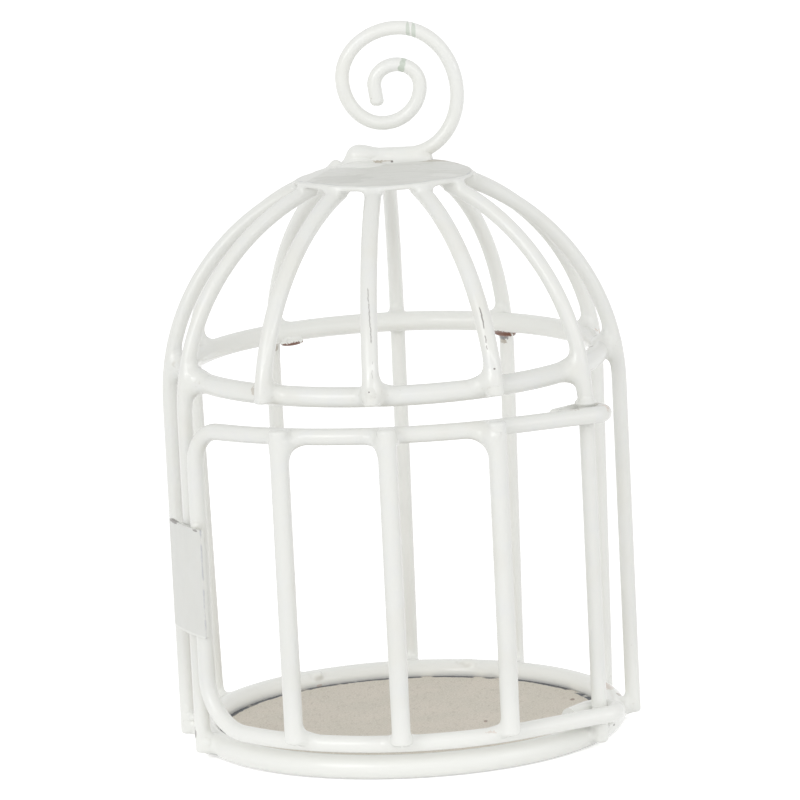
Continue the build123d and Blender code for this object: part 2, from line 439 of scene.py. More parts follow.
capWeld = {  # in millimetres
    "pull": 1.2, "pullSpread": (0.8, 1.2), "fromRim": 0.8, "above": 0.05, "reach": 3.0, "underTop": 0.02,
}


def capWelds():
    welds = []
    reach = capWeld["reach"] * mm
    for rib in ribs.values():
        out = outFrom(rib["bearing"], 1)
        inset, height = capHigh.x - capWeld["fromRim"] * mm, capLow.z + capWeld["above"] * mm
        contact = outFrom(rib["bearing"], inset, height)
        pulls = capWeld["pull"] * chance.uniform(*capWeld["pullSpread"], 4)
        shapes = (fromCap, lambda p: fromRib(p, rib))
        welds.append(weldOf(*shapes, contact, -upward, out, pulls, reach, lid=overCap))
    return welds


def overCap(p):  # past the top of the sheet, dents and all
    return p[..., 2] - capTop(p[..., 0], p[..., 1]) + (2 * cap["dents"] + capWeld["underTop"]) * mm


def railWelds(pullsOf):
    welds = []
    for name, bar in bars.items():
        for rail, end in ((topRail, "top"), (bottomRail, "bottom")):
            normal = outFrom(bar["bearing"], 1)
            deep = door["bow"] * normal[1] - rail["axle"][0]
            contact = outFrom(bar["bearing"], door["bow"] + door["wire"], rail["height"])
            contact[2] += deep * math.sin(rail["tip"])
            pulls = pullsOf[name][end]
            shapes = (lambda p: fromHoop(p, rail), lambda p: fromBar(p, bar))
            welds.append(weldOf(*shapes, contact, normal, upward, pulls))
    return welds


scrollWeld = {"pulls": (1.2, 1.6, 2.0, 1.6), "reach": 3.0}  # along the whole foot of the scroll


def scrollWelds():
    middle = (scrollFoot["left"] + scrollFoot["right"]) / 2
    half = (scrollFoot["right"] - scrollFoot["left"]) / 2
    contact = np.array([middle, scrollFoot["y"], capHigh.z])
    along, reach = np.array([1.0, 0, 0]), scrollWeld["reach"] * mm
    pulls = scrollWeld["pulls"]
    return [weldOf(fromCap, fromScrollFoot, contact, upward, along, pulls, reach, stretch=half)]


noiseRoughness = 0.55
patchEdge = (1.15, 0.85)  # where a patch begins and is whole, in shares of its reach
evenSpot = {"strength": 1.0, "ragged": 0.5, "grain": 0.45, "depth": 0}
crackLook = {
    "wander": 0.3, "wanderSize": 0.9, "core": 0.45, "endFade": 0.35,
    "gapSize": 0.7, "gapFade": 0.04, "skin": 0.1, "facing": 5.0,
}
speckLook = {"step": 0.002, "core": 0.6}


def freshTree(owner):
    owner.use_nodes = True
    owner.node_tree.nodes.clear()
    return owner.node_tree


class Field:  # a value that varies over a surface; working with it adds Math nodes
    def __init__(self, finish, socket):
        self.finish = finish
        self.socket = socket

    def math(self, operation, first, second):
        return self.finish.add("ShaderNodeMath", {"operation": operation}, {0: first, 1: second})

    def __add__(self, other):
        return self.math("ADD", self, other)

    def __mul__(self, other):
        return self.math("MULTIPLY", self, other)

    def __sub__(self, other):
        return self.math("SUBTRACT", self, other)

    def __or__(self, other):  # the greater of two masks
        return self.math("MAXIMUM", self, other)


class Finish:  # a material under construction; every method returns a Field
    def __init__(self, name):
        self.material = bpy.data.materials.new(name)
        self.tree = freshTree(self.material)
        metres = self.add("ShaderNodeTexCoord", {}, {}, "Object")
        self.place = self.vector("SCALE", metres, scale=1 / mm)  # in millimetres

    def add(self, kind, settings, inputs, output=0):
        node = self.tree.nodes.new(kind)
        for key, value in settings.items():
            setattr(node, key, value)
        for key, value in inputs.items():
            if isinstance(value, Field):
                self.tree.links.new(value.socket, node.inputs[key])
            else:
                node.inputs[key].default_value = value
        return Field(self, node.outputs[output])

    def vector(self, operation, first, second=None, scale=None, output=0):
        inputs = {0: first}
        if second is not None:
            inputs[1] = second
        if scale is not None:
            inputs["Scale"] = scale
        return self.add("ShaderNodeVectorMath", {"operation": operation}, inputs, output)

    def noise(self, size, detail=2.0, squeeze=None, shift=(0, 0, 0)):  # cloudy values about 0.5
        place = self.vector("ADD", self.place, shift)
        if squeeze:
            place = self.vector("MULTIPLY", place, squeeze)
        settings = {"noise_dimensions": "3D"}
        inputs = {"Vector": place, "Scale": 1 / size, "Detail": detail, "Roughness": noiseRoughness}
        return self.add("ShaderNodeTexNoise", settings, inputs)

    def wander(self, size, width, detail=2.0, shift=(0, 0, 0)):  # a slow drift about nought
        return (self.noise(size, detail, shift=shift) - 0.5) * width

    def ease(self, value, low, high):  # 0 below low, 1 above high, or the other way round
        inputs = {"Value": value, "From Min": low, "From Max": high}
        return self.add("ShaderNodeMapRange", {"interpolation_type": "SMOOTHSTEP"}, inputs)

    def mix(self, share, first, second):
        settings = {"data_type": "RGBA", "blend_type": "MIX"}
        return self.add("ShaderNodeMix", settings, {0: share, 6: first, 7: second}, 2)

    def patch(self, centre, reach, ragged=evenSpot["ragged"], grain=evenSpot["grain"]):
        # 1 within an egg shape whose edge is uneven
        away = self.vector("SUBTRACT", self.place, tuple(centre))
        away = self.vector("DIVIDE", away, tuple(reach))
        length = self.vector("LENGTH", away, output="Value")
        return self.ease(length + self.wander(grain, 2 * ragged, 3.0, tuple(centre)), *patchEdge)

    def level(self):  # the way out from the cage's axis
        flat = self.vector("MULTIPLY", self.place, (1, 1, 0))
        return self.vector("LENGTH", flat, output="Value")

    def axis(self, letter):
        return self.add("ShaderNodeSeparateXYZ", {}, {0: self.place}, letter)

    def size(self, value):  # a value without its sign
        return self.add("ShaderNodeMath", {"operation": "ABSOLUTE"}, {0: value})

    def crack(self, crack):
        # a thin uneven line down the outside of a rib, from one place to another, each given by
        # its distance aside from the rib's bearing and its height
        turn = math.radians(crack["bearing"])
        (startAside, startHeight), (endAside, endHeight) = crack["ends"]
        slope = (endAside - startAside) / (endHeight - startHeight)
        height = self.axis("Z")
        side = (math.cos(turn), math.sin(turn), 0)
        aside = self.vector("DOT_PRODUCT", self.place, side, output="Value")
        wander = self.wander(crackLook["wanderSize"], crackLook["wander"], 3.0, (startHeight, 0, 0))
        away = self.size(aside - startAside - (height - startHeight) * slope + wander)
        line = self.ease(away, crack["wide"], crack["wide"] * crackLook["core"])
        middle, half = (startHeight + endHeight) / 2, abs(startHeight - endHeight) / 2
        run = self.ease(self.size(height - middle), half, half - crackLook["endFade"])
        gaps = self.noise(crackLook["gapSize"], shift=(0, startHeight, 0))
        broken = self.ease(gaps, crack["gaps"] - crackLook["gapFade"], crack["gaps"])
        dome = (0, 0, domeSpring / mm)
        reach = self.vector("LENGTH", self.vector("SUBTRACT", self.place, dome), output="Value")
        circle = ribs["full_rib_04"]["circle"] / mm
        outside = self.ease(reach, circle, circle + crackLook["skin"])
        facing = (math.sin(turn), -math.cos(turn), 0)
        ahead = self.vector("DOT_PRODUCT", self.place, facing, output="Value")
        ahead = self.ease(ahead, 0.0, crackLook["facing"])
        return line * run * broken * outside * ahead

    def specks(self, size, share, spread):  # sparse dots, in the given share of the cells
        inputs = {"Vector": self.place, "Scale": 1 / size, "Randomness": 1.0}
        distance = self.add("ShaderNodeTexVoronoi", {}, inputs, "Distance")
        colour = self.add("ShaderNodeTexVoronoi", {}, inputs, "Color")
        split = self.add("ShaderNodeSeparateColor", {}, {0: colour})
        chosen = self.ease(split, 1 - share, 1 - share + speckLook["step"])
        return chosen * self.ease(distance, spread, spread * speckLook["core"])

    def mark(self, colour, height, mark):
        mask = self.patch(mark["at"], mark["reach"], mark["ragged"], mark["grain"])
        colour = self.mix(mask * mark["strength"], colour, paint[mark["shows"]])
        if mark["depth"]:  # on few of them, because a bump works out all that it is given three times
            height = height - mask * mark["depth"]
        return colour, height

    def surface(self, colour, roughness, height, depth, **constants):
        bump = self.add("ShaderNodeBump", {}, {"Height": height, "Distance": depth, "Strength": 1.0})
        inputs = {"Base Color": colour, "Roughness": roughness, "Normal": bump, **constants}
        shader = self.add("ShaderNodeBsdfPrincipled", {}, inputs)
        output = self.tree.nodes.new("ShaderNodeOutputMaterial")
        self.tree.links.new(shader.socket, output.inputs["Surface"])
        return self.material


paint = {
    "white": (0.815, 0.82, 0.785, 1),
    "cream": (0.775, 0.765, 0.70, 1),
    "cool": (0.79, 0.80, 0.80, 1),
    # painted light: a whiter paint mixed in towards the back and low down
    "paintedLight": (0.90, 0.905, 0.87, 1),
    # painted shade: the colour of the dark line just inside a sheet's edge
    "shadeLineBlue": (0.42, 0.44, 0.50, 1),
    "thin": (0.765, 0.77, 0.74, 1),
    "worn": (0.61, 0.615, 0.575, 1),
    "greenish": (0.57, 0.63, 0.55, 1),
    "bareSteel": (0.30, 0.30, 0.31, 1),
    "rust": (0.17, 0.065, 0.035, 1),
    "paleRust": (0.60, 0.43, 0.33, 1),
    "grime": (0.50, 0.45, 0.38, 1),
    "crack": (0.22, 0.20, 0.19, 1),
}


dipped = {  # sizes in millimetres, low and high ends, shares
    "mottle": 2.6, "coolEnds": (0.42, 0.78), "coolShare": 0.5,
    "cloud": 7.0, "creamEnds": (0.52, 0.72), "creamShare": 0.35,
    "backEnds": (-4, 22), "backShare": 0.75, "lowEnds": (14, 3), "lowShare": 0.95,
    "lumps": 0.5, "ripple": 0.9, "ripples": 0.16, "orangePeel": 0.16, "peel": 0.03,
    "thinEnds": (2.4, 0.6), "stain": 0.8, "stainEnds": (0.60, 0.74), "stainShare": 0.28,
    "pores": (1.5, 0.05, 0.07), "poreShare": 0.7, "poreDepth": 0.5,
    "roughness": 0.40, "roughSpread": 0.14, "relief": 0.05 * mm,
    "gloss": {"Coat Weight": 0.65, "Coat Roughness": 0.09},
}


def dippedPaint(name, chips=(), cracks=(), jointHeights=()):
    # white paint that ran while wet: soft lumps, faint mottling, pores and thin stained places
    finish = Finish(name)
    mottle = finish.noise(dipped["mottle"], 3.0)
    cloud = finish.noise(dipped["cloud"], shift=(4, 9, 2))
    cool = finish.ease(mottle, *dipped["coolEnds"]) * dipped["coolShare"]
    colour = finish.mix(cool, paint["white"], paint["cool"])
    cream = finish.ease(cloud, *dipped["creamEnds"]) * dipped["creamShare"]
    colour = finish.mix(cream, colour, paint["cream"])
    # painted light: the paint is made whiter towards the back and low down, standing in for light that
    # reaches the back ribs and the base less
    back = finish.ease(finish.axis("Y"), *dipped["backEnds"]) * dipped["backShare"]
    low = finish.ease(finish.axis("Z"), *dipped["lowEnds"]) * dipped["lowShare"]
    colour = finish.mix(back | low, colour, paint["paintedLight"])
    height = mottle * dipped["lumps"] + finish.noise(dipped["ripple"]) * dipped["ripples"]
    height = height + finish.noise(dipped["orangePeel"]) * dipped["peel"]
    for level in jointHeights:  # thinner paint near the welds lets a little brown through
        near = finish.ease(finish.size(finish.axis("Z") - level), *dipped["thinEnds"])
        stain = finish.noise(dipped["stain"], 4.0, shift=(level, 0, 0))
        thin = near * finish.ease(stain, *dipped["stainEnds"])
        colour = finish.mix(thin * dipped["stainShare"], colour, paint["grime"])
    pores = finish.specks(*dipped["pores"])
    colour = finish.mix(pores * dipped["poreShare"], colour, paint["grime"])
    height = height - pores * dipped["poreDepth"]
    for chip in chips:
        colour, height = finish.mark(colour, height, chip)
    for crack in cracks:
        colour = finish.mix(finish.crack(crack) * crack["strength"], colour, paint["crack"])
    roughness = mottle * dipped["roughSpread"] + dipped["roughness"]
    return finish.surface(colour, roughness, height, dipped["relief"], **dipped["gloss"])


brushed = {
    "stroke": 1.6, "strokeEnds": (0.35, 0.75), "strokeShare": 0.7,
    "mottle": 3.2, "paleEnds": (0.5, 0.75), "paleShare": 0.4,
    "shadeLineBreaks": 1.3, "shadeLineEnds": (0.36, 0.56), "shadeLineShare": 0.5,
    "strokes": 0.35, "lumps": 0.5, "grain": 0.2, "grains": 0.05,
    "roughness": 0.42, "roughSpread": 0.15, "relief": 0.05 * mm, "gloss": {"Coat Weight": 0.1},
}


def sheetPaint(name, colours, highlightMask, shadeLineMask, marks):
    # thinner brushed paint on sheet metal, with fine strokes, a painted highlight along the edge, a painted
    # shade line just inside it, and marks on it
    finish = Finish(name)
    strokes = finish.noise(brushed["stroke"], 4.0, squeeze=colours["brush"])
    mottle = finish.noise(brushed["mottle"], 3.0, shift=(1, 5, 3))
    worn = finish.ease(strokes, *brushed["strokeEnds"]) * brushed["strokeShare"]
    colour = finish.mix(worn, colours["sheet"], colours["stroke"])
    pale = finish.ease(mottle, *brushed["paleEnds"]) * brushed["paleShare"]
    colour = finish.mix(pale, colour, colours["pale"])
    # painted highlight along the sheet's edge
    colour = finish.mix(highlightMask(finish), colour, paint["white"])
    # painted shade: a dark line just inside the edge, broken by noise
    broken = finish.ease(finish.noise(brushed["shadeLineBreaks"], 3.0, shift=(6, 2, 4)), *brushed["shadeLineEnds"])
    colour = finish.mix(shadeLineMask(finish) * broken * brushed["shadeLineShare"], colour, paint["shadeLineBlue"])
    height = strokes * brushed["strokes"] + mottle * brushed["lumps"]
    height = height + finish.noise(brushed["grain"]) * brushed["grains"]
    for mark in marks:
        colour, height = finish.mark(colour, height, mark)
    roughness = mottle * brushed["roughSpread"] + brushed["roughness"]
    return finish.surface(colour, roughness, height, brushed["relief"], **brushed["gloss"])


board = {
    "base": (0.70, 0.66, 0.575, 1), "warm": (0.745, 0.69, 0.605, 1),
    "toneSize": 6.0, "warmEnds": (0.35, 0.7),
    "fibre": (0.56, 0.515, 0.44, 1), "fibreSize": 0.5, "fibreEnds": (0.5, 0.72), "fibreShare": 0.55,
    "paleGrain": (0.82, 0.78, 0.72, 1), "paleEnds": (0.52, 0.64), "paleShare": 0.75, "grainSize": 0.22,
    "darkGrain": (0.58, 0.53, 0.46, 1), "darkEnds": (0.46, 0.34), "darkShare": 0.6,
    "fleck": (0.40, 0.355, 0.30, 1), "flecks": (0.6, 0.12, 0.12), "fleckShare": 0.4,
    "stain": (0.22, 0.13, 0.10, 1), "stainShare": 0.6, "stains": ((20.5, 8.1, 0.3), (9.6, -2.1, 0.25)),
    # smears and the painted shade of the gap: how far in from the board's edge, and where the noise breaks
    # them
    "unsteady": (1.4, 0.9, 3.0, (3, 3, 3)),
    "smear": (0.72, 0.72, 0.70, 1), "smearFrom": 0.8, "smearTo": 0.4, "smearShare": 0.85,
    "smearBreaks": 2.1, "smearEnds": (0.5, 0.6),
    # painted shade: the dark gap between the board and the base ring
    "gapShade": (0.10, 0.11, 0.13, 1), "gapShadeFrom": 0.75, "gapShadeTo": 0.5, "gapShadeShare": 0.9,
    "gapShadeBreaks": 3.4, "gapShadeEnds": (0.36, 0.44),
    "fibres": 0.5, "grains": 0.4, "roughness": 0.9, "relief": 0.06 * mm,
    "gloss": {"Specular IOR Level": 0.25},
}


def boardFinish(name):
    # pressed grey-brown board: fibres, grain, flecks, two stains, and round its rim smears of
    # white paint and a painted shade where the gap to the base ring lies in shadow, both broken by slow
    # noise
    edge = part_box("floor_disc")[1].x / mm
    finish = Finish(name)
    tone = finish.noise(board["toneSize"], 3.0)
    fibres = finish.noise(board["fibreSize"], 5.0, squeeze=(1, 0.35, 1))
    grain = finish.noise(board["grainSize"], 4.0)
    colour = finish.mix(finish.ease(tone, *board["warmEnds"]), board["base"], board["warm"])
    for source, ends, share, shade in (
        (fibres, "fibreEnds", "fibreShare", "fibre"),
        (grain, "paleEnds", "paleShare", "paleGrain"),
        (grain, "darkEnds", "darkShare", "darkGrain"),
    ):
        colour = finish.mix(finish.ease(source, *board[ends]) * board[share], colour, board[shade])
    flecks = finish.specks(*board["flecks"])
    colour = finish.mix(flecks * board["fleckShare"], colour, board["fleck"])
    for x, y, size in board["stains"]:
        stain = finish.patch((x, y, 1.1), (size, size * 2, 1.0))
        colour = finish.mix(stain * board["stainShare"], colour, board["stain"])
    reach = finish.level() + finish.wander(*board["unsteady"])
    smear = finish.ease(reach, edge - board["smearFrom"], edge - board["smearTo"])
    breaks = finish.noise(board["smearBreaks"], 3.0, shift=(8, 1, 0))
    smear = smear * finish.ease(breaks, *board["smearEnds"])
    colour = finish.mix(smear * board["smearShare"], colour, board["smear"])
    # painted shade where the gap between the board and the base ring lies in shadow
    gapShade = finish.ease(reach, edge - board["gapShadeFrom"], edge - board["gapShadeTo"])
    breaks = finish.noise(board["gapShadeBreaks"], shift=(2, 7, 0))
    gapShade = gapShade * finish.ease(breaks, *board["gapShadeEnds"])
    colour = finish.mix(gapShade * board["gapShadeShare"], colour, board["gapShade"])
    height = fibres * board["fibres"] + grain * board["grains"]
    return finish.surface(colour, board["roughness"], height, board["relief"], **board["gloss"])


def spot(at, reach, shows, **more):  # an uneven mark in one of the paint's colours, in millimetres
    return {**evenSpot, "at": at, "reach": reach, "shows": shows, **more}


hoopLevels = [baseHoop["height"] / mm, upperHoop["height"] / mm]
weldChips = [  # bare and rusty places on the welds and the wires beside them, and one painted shadow in a gap
    spot((-14.0, 20.4, 46.72), (2.1, 1.5, 0.4), "rust", ragged=0.9, grain=0.3),
    spot((-15.9, 21.6, 46.3), (0.6, 0.7, 0.75), "grime", ragged=1.0, strength=0.8),
    spot((-15.1, 19.9, 46.75), (0.25, 0.3, 0.2), "crack"),
    spot((13.2, 22.5, 46.78), (2.1, 1.5, 0.52), "rust", ragged=0.8, grain=0.3),
    spot((24.6, 11.9, 48.0), (1.3, 1.2, 0.9), "paleRust", ragged=1.4, grain=0.3, strength=0.7),
    spot((13.4, 23.8, 46.15), (0.62, 0.6, 0.48), "bareSteel", ragged=0.7, grain=0.3),
    spot((13.2, 23.9, 45.45), (0.5, 0.5, 0.3), "grime", ragged=1.2, strength=0.8),
    spot((26.5, 3.0, 49.35), (0.5, 0.7, 0.4), "paleRust", strength=0.7),
    spot((25.1, -4.4, 49.45), (0.26, 0.34, 0.22), "crack"),
    spot((-12.7, 20.9, 1.2), (0.45, 0.4, 0.22), "paleRust", strength=0.4),
    spot((26.0, -9.1, 1.65), (0.25, 0.4, 0.13), "crack", strength=0.7),
    spot((26.7, 2.8, 2.75), (0.25, 0.25, 0.2), "crack", strength=0.8),
    spot((25.25, -5.5, 3.0), (0.45, 0.5, 0.3), "grime", strength=0.6),
    spot((-24.3, -12.7, 0.7), (0.9, 0.6, 0.14), "bareSteel", ragged=0.8, strength=0.55),
    spot((-16.35, -21.5, 48.6), (0.3, 0.5, 0.6), "grime", ragged=1.0, strength=0.65),
    spot((-15.75, -22.1, 47.5), (0.35, 0.5, 0.35), "grime", ragged=1.0, strength=0.65),
    spot((13.3, -23.8, 48.0), (0.7, 0.5, 0.3), "grime", ragged=1.1, strength=0.5),
    spot((-1.5, -27.3, 47.45), (0.6, 0.5, 0.15), "grime", ragged=0.9, strength=0.7),
    # painted shadow: a dark patch in the gap between a rib's foot and the base ring, drawn in the crack
    # colour
    spot((-26.75, -12.6, 3.3), (0.26, 0.6, 0.8), "crack", ragged=0.9, strength=0.85),
    spot((25.4, 7.2, 3.0), (0.9, 2.2, 0.22), "paleRust", ragged=1.0, strength=0.5),
    spot((26.7, 2.3, 2.8), (0.5, 0.9, 0.25), "grime", ragged=1.0, strength=0.9),
]
ribChips = weldChips + [
    spot(outFrom(math.radians(28.2), 28.6, 50.75), (0.16, 0.3, 0.13), "crack", ragged=0.5),
    spot(outFrom(math.radians(-3.4), 29.1, 49.2), (0.13, 0.3, 0.12), "crack", ragged=0.5),
    spot(outFrom(math.radians(115.9), 27.3, 54.5), (0.16, 0.2, 0.16), "crack"),
    spot((24.8, -13.9, 45.2), (0.5, 0.6, 0.2), "grime", strength=0.5),
]
ribCracks = [  # the rib's bearing, then how far aside and how high the crack starts and ends
    {"bearing": -3.1, "ends": ((-0.20, 61.3), (0.26, 54.8)), "wide": 0.085, "gaps": 0.42, "strength": 0.62},
    {"bearing": -3.1, "ends": ((0.36, 52.9), (0.27, 50.6)), "wide": 0.06, "gaps": 0.46, "strength": 0.4},
    {"bearing": 28.7, "ends": ((-0.45, 58.2), (-0.60, 55.4)), "wide": 0.09, "gaps": 0.30, "strength": 0.85},
    {"bearing": 28.7, "ends": ((-0.64, 54.9), (-0.69, 52.9)), "wide": 0.075, "gaps": 0.40, "strength": 0.8},
]
hingeIn = hinge / mm
hookChips = [
    spot((hingeIn.x - 2.6, hingeIn.y - 3.2, 43.9), (1.6, 0.8, 0.3), "grime", ragged=0.9, strength=0.6),
    spot((hingeIn.x + 2.2, hingeIn.y - 0.6, 43.2), (0.7, 0.9, 0.7), "paleRust", ragged=1.3, grain=0.3,
         strength=0.5),
    spot((hingeIn.x + 1.0, hingeIn.y + 2.0, 43.5), (2.4, 1.2, 0.6), "grime", strength=0.45),
    spot((hingeIn.x - 0.5, hingeIn.y - 1.3, 5.6), (0.5, 0.5, 0.3), "grime", strength=0.8),
    spot((11.4, -26.3, 5.5), (0.9, 0.5, 0.16), "paleRust", ragged=1.3, grain=0.25, strength=0.35),
]
whitePaint = dippedPaint("dipped_white_paint", ribChips, (), hoopLevels)
doorwayChips = [chip for chip in ribChips if chip["at"][1] < -20 and chip["at"][2] > 40]
doorwayPaint = dippedPaint("dipped_white_paint_doorway", doorwayChips, ribCracks, hoopLevels)
hoopPaint = dippedPaint("dipped_white_paint_hoops", weldChips)
doorPaint = dippedPaint("dipped_white_paint_door", hookChips)
scrollChips = [
    spot((-1.0, 8.15, 71.95), (0.72, 0.7, 0.26), "grime", ragged=1.2, grain=0.25),
    spot((0.0, 8.3, 72.05), (0.9, 0.5, 0.07), "grime", ragged=0.6, strength=0.8),
    spot((0.72, 8.1, 71.92), (0.17, 0.6, 0.17), "crack", ragged=0.3, depth=1.5),
]
greenBands = (  # across, up, reach and strength: two on the outer turn, one aslant on the inner
    (3.50, 88.4, (0.26, 2.0, 1.3), 0.75),
    (4.22, 88.4, (0.27, 2.0, 1.3), 0.75),
    (2.82, 84.95, (0.36, 2.0, 0.5), 0.8),
    (2.64, 84.35, (0.38, 2.0, 0.45), 0.9),
    (2.46, 83.7, (0.44, 2.0, 0.5), 1.0),
)
for x, z, reach, strength in greenBands:
    scrollChips.append(spot((x, 8.5, z), reach, "greenish", ragged=0.25, grain=0.8, strength=strength))
scrollPaint = dippedPaint("dipped_white_paint_scroll", scrollChips)
boardGrey = boardFinish("grey_brown_board")


sheetEdges = {  # where each begins and is whole: so far short of an edge, or past it if negative
    "capHighlight": (0.4, 0.2), "capShadeLineIn": (0.62, 0.5), "capShadeLineOut": (0.3, 0.4), "capShadeLineBack": (-1, 2),
    "capStrip": (-0.7, -1.1), "latchFoot": (-0.35, -0.2), "latchSide": (0.4, 0.25),
    "latchShadeLineIn": (0.55, 0.42), "latchShadeLineOut": (0.22, 0.32),
}
unsteady = {"cap": (1.5, 0.3, 3.0), "latchFoot": (1.0, 0.2), "latchSide": (0.9, 0.25, 2.0, (3, 0, 0))}


def fromEdge(finish, place, edge, name):
    start, whole = sheetEdges[name]
    return finish.ease(place, edge - start, edge - whole)


def edgeLine(finish, place, edge, name):
    inner = fromEdge(finish, place(finish), edge, name + "In")
    return inner * fromEdge(finish, place(finish), edge, name + "Out")


def capReach(finish):  # the way out from the cage's axis, a little unsteady
    return finish.level() + finish.wander(*unsteady["cap"])


def capHighlight(finish):
    # painted highlight: white along the rim, and over the whole strip that is hammered down at the left
    slant = cap["leftSlant"]
    leftward = (finish.axis("Y") * slant - finish.axis("X")) * (1 / math.hypot(1, slant))
    leftward = leftward + finish.wander(*unsteady["cap"])
    strip = fromEdge(finish, leftward, cap["leftFrom"], "capStrip")
    return fromEdge(finish, capReach(finish), capHigh.x / mm, "capHighlight") | strip


def capShadeLine(finish):  # painted shade: a dark line between the rim and the sheet, along the front half
    line = edgeLine(finish, capReach, capHigh.x / mm, "capShadeLine")
    return line * fromEdge(finish, finish.axis("Y"), 0, "capShadeLineBack")


latchLow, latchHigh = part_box("latch_plate")


def latchHighlight(finish):  # painted highlight: white along its foot and its right edge
    height = finish.axis("Z") + finish.wander(*unsteady["latchFoot"])
    foot = fromEdge(finish, height, latchLow.z / mm, "latchFoot")
    across = finish.axis("X") + finish.wander(*unsteady["latchSide"])
    return foot | fromEdge(finish, across, latchHigh.x / mm, "latchSide")


def latchShadeLine(finish):  # painted shade: a dark line inside its right edge
    return edgeLine(finish, lambda finish: finish.axis("X"), latchHigh.x / mm, "latchShadeLine")


capMarks = [
    spot((-3.1, 6.2, 71.9), (1.6, 2.2, 0.6), "white", ragged=0.9, strength=0.6, depth=-0.5),
    spot((6.2, 7.7, 71.8), (1.9, 0.5, 0.6), "grime", ragged=0.7, strength=0.7),
    spot((8.3, 5.2, 71.7), (1.2, 0.9, 0.6), "grime", ragged=0.8, strength=0.5),
    spot((7.4, 3.2, 71.8), (3.3, 3.4, 0.8), "thin", ragged=1.6, grain=1.2, strength=0.75),
    spot((-5.2, 4.0, 71.8), (2.6, 3.4, 0.8), "thin", ragged=1.4, grain=1.2, strength=0.5),
    spot((7.6, -4.4, 71.8), (1.9, 1.5, 0.8), "white", ragged=1.0, strength=0.75),
    spot((-5.0, -4.6, 71.8), (3.4, 3.2, 0.8), "worn", ragged=1.0, grain=1.6, strength=0.6),
]
capColours = {  # and how the brush's strokes are squeezed along x, y and z
    "sheet": (0.735, 0.74, 0.70, 1), "stroke": (0.655, 0.66, 0.62, 1), "pale": (0.785, 0.79, 0.76, 1),
    "brush": (0.25, 1.6, 1),
}
latchColours = {
    "sheet": (0.735, 0.74, 0.705, 1), "stroke": (0.705, 0.71, 0.68, 1), "pale": (0.765, 0.77, 0.75, 1),
    "brush": (1, 1, 0.3),
}
latchMarks = [
    spot((latchLow.x / mm + 0.9, -10.6, latchHigh.z / mm - 0.1), (1.2, 1.6, 0.22), "crack", ragged=0.9,
         grain=0.3, strength=0.8),
    # painted shadow: a dark line under the weld bead at the plate's top edge, drawn in the crack colour
    spot((-24.9, -16.8, latchHigh.z / mm - 0.15), (0.5, 0.6, 0.14), "crack", strength=0.7),
]
capPaint = sheetPaint("brushed_paint_cap", capColours, capHighlight, capShadeLine, capMarks)
latchPaint = sheetPaint("brushed_paint_latch", latchColours, latchHighlight, latchShadeLine, latchMarks)
print("finishes mixed")

finishOf = {"floor_disc": boardGrey, "cap_plate": capPaint, "latch_plate": latchPaint}
finishOf.update({"upper_ring": hoopPaint, "base_ring": hoopPaint, "scroll_finial": scrollPaint})
finishOf.update({name: doorwayPaint for name, rib in ribs.items() if not rib["full"]})
for name, node in frame["nodes"].items():
    onDoor = name in frame["record"]["behaviour"]["bodies"]["door"]
    node.data.materials.clear()
    node.data.materials.append(finishOf.get(name, doorPaint if onDoor else whitePaint))

# how far the paint pulls across the four corners, in millimetres: up and right, down and right,
# down and left, up and left, seen from outside the cage
basePulls = {
    "others": np.array([1.7, 1.3, 1.3, 1.7]),
    "full_rib_11": (2.0, 1.5, 2.2, 2.0),
    "full_rib_03": (1.3, 0.9, 0.9, 1.3),
    "full_rib_04": (1.3, 1.0, 1.3, 1.3),
}
upperPulls = {
    "others": np.array([2.4, 1.9, 1.9, 2.4]),
    "short_rib_12": (2.2, 1.6, 1.6, 2.1),
    "short_rib_01": (3.3, 1.6, 1.5, 2.4),
    "short_rib_02": (2.0, 1.4, 1.4, 3.0),
    "full_rib_03": (2.3, 2.3, 2.5, 2.6),
    "full_rib_06": (2.2, 1.3, 1.3, 1.2),
    "full_rib_07": (1.6, 1.3, 1.3, 1.6),
    "full_rib_08": (1.5, 1.3, 1.3, 2.0),
    "full_rib_11": (2.9, 2.6, 2.2, 2.2),
}
railPulls = {
    "door_bar_1": {"top": (1.4, 2.9, 2.8, 1.4), "bottom": (2.7, 1.8, 1.8, 2.3)},
    "door_bar_2": {"top": (1.3, 1.9, 3.3, 1.4), "bottom": (2.3, 1.8, 1.8, 2.3)},
    "door_bar_3": {"top": (1.2, 1.2, 3.6, 1.5), "bottom": (2.0, 1.5, 1.5, 2.7)},
}
capSheet = addPiece("hammered_cap", [hammeredSheet()], "cage", capPaint)
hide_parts("cap_plate")
addPiece("base_weld_paint", ribWelds(baseHoop, basePulls), "cage", whitePaint)
addPiece("upper_weld_paint", ribWelds(upperHoop, upperPulls), "cage", whitePaint)
addPiece("cap_weld_paint", capWelds(), "cage", whitePaint)
addPiece("rail_weld_paint", railWelds(railPulls), "door", doorPaint)
addPiece("scroll_weld_paint", scrollWelds(), "cage", scrollPaint)


# what the drips sit on
frameCorners = cornersOf("door_frame")
leftmost = frameCorners[:, 0] < doorLow.x + 0.03 * mm
uprightX = doorLow.x + door["wire"]
uprightY = frameCorners[leftmost, 1].mean()


def fromUpright(p):
    return np.hypot(p[..., 0] - uprightX, p[..., 1] - uprightY) - door["wire"]


def fromHoopAndRibs(hoop):
    return lambda p: np.minimum.reduce([fromHoop(p, hoop)] + [fromRib(p, rib) for rib in ribs.values()])


def fromFoot(p):
    return np.minimum(fromCap(p), fromScrollFoot(p))


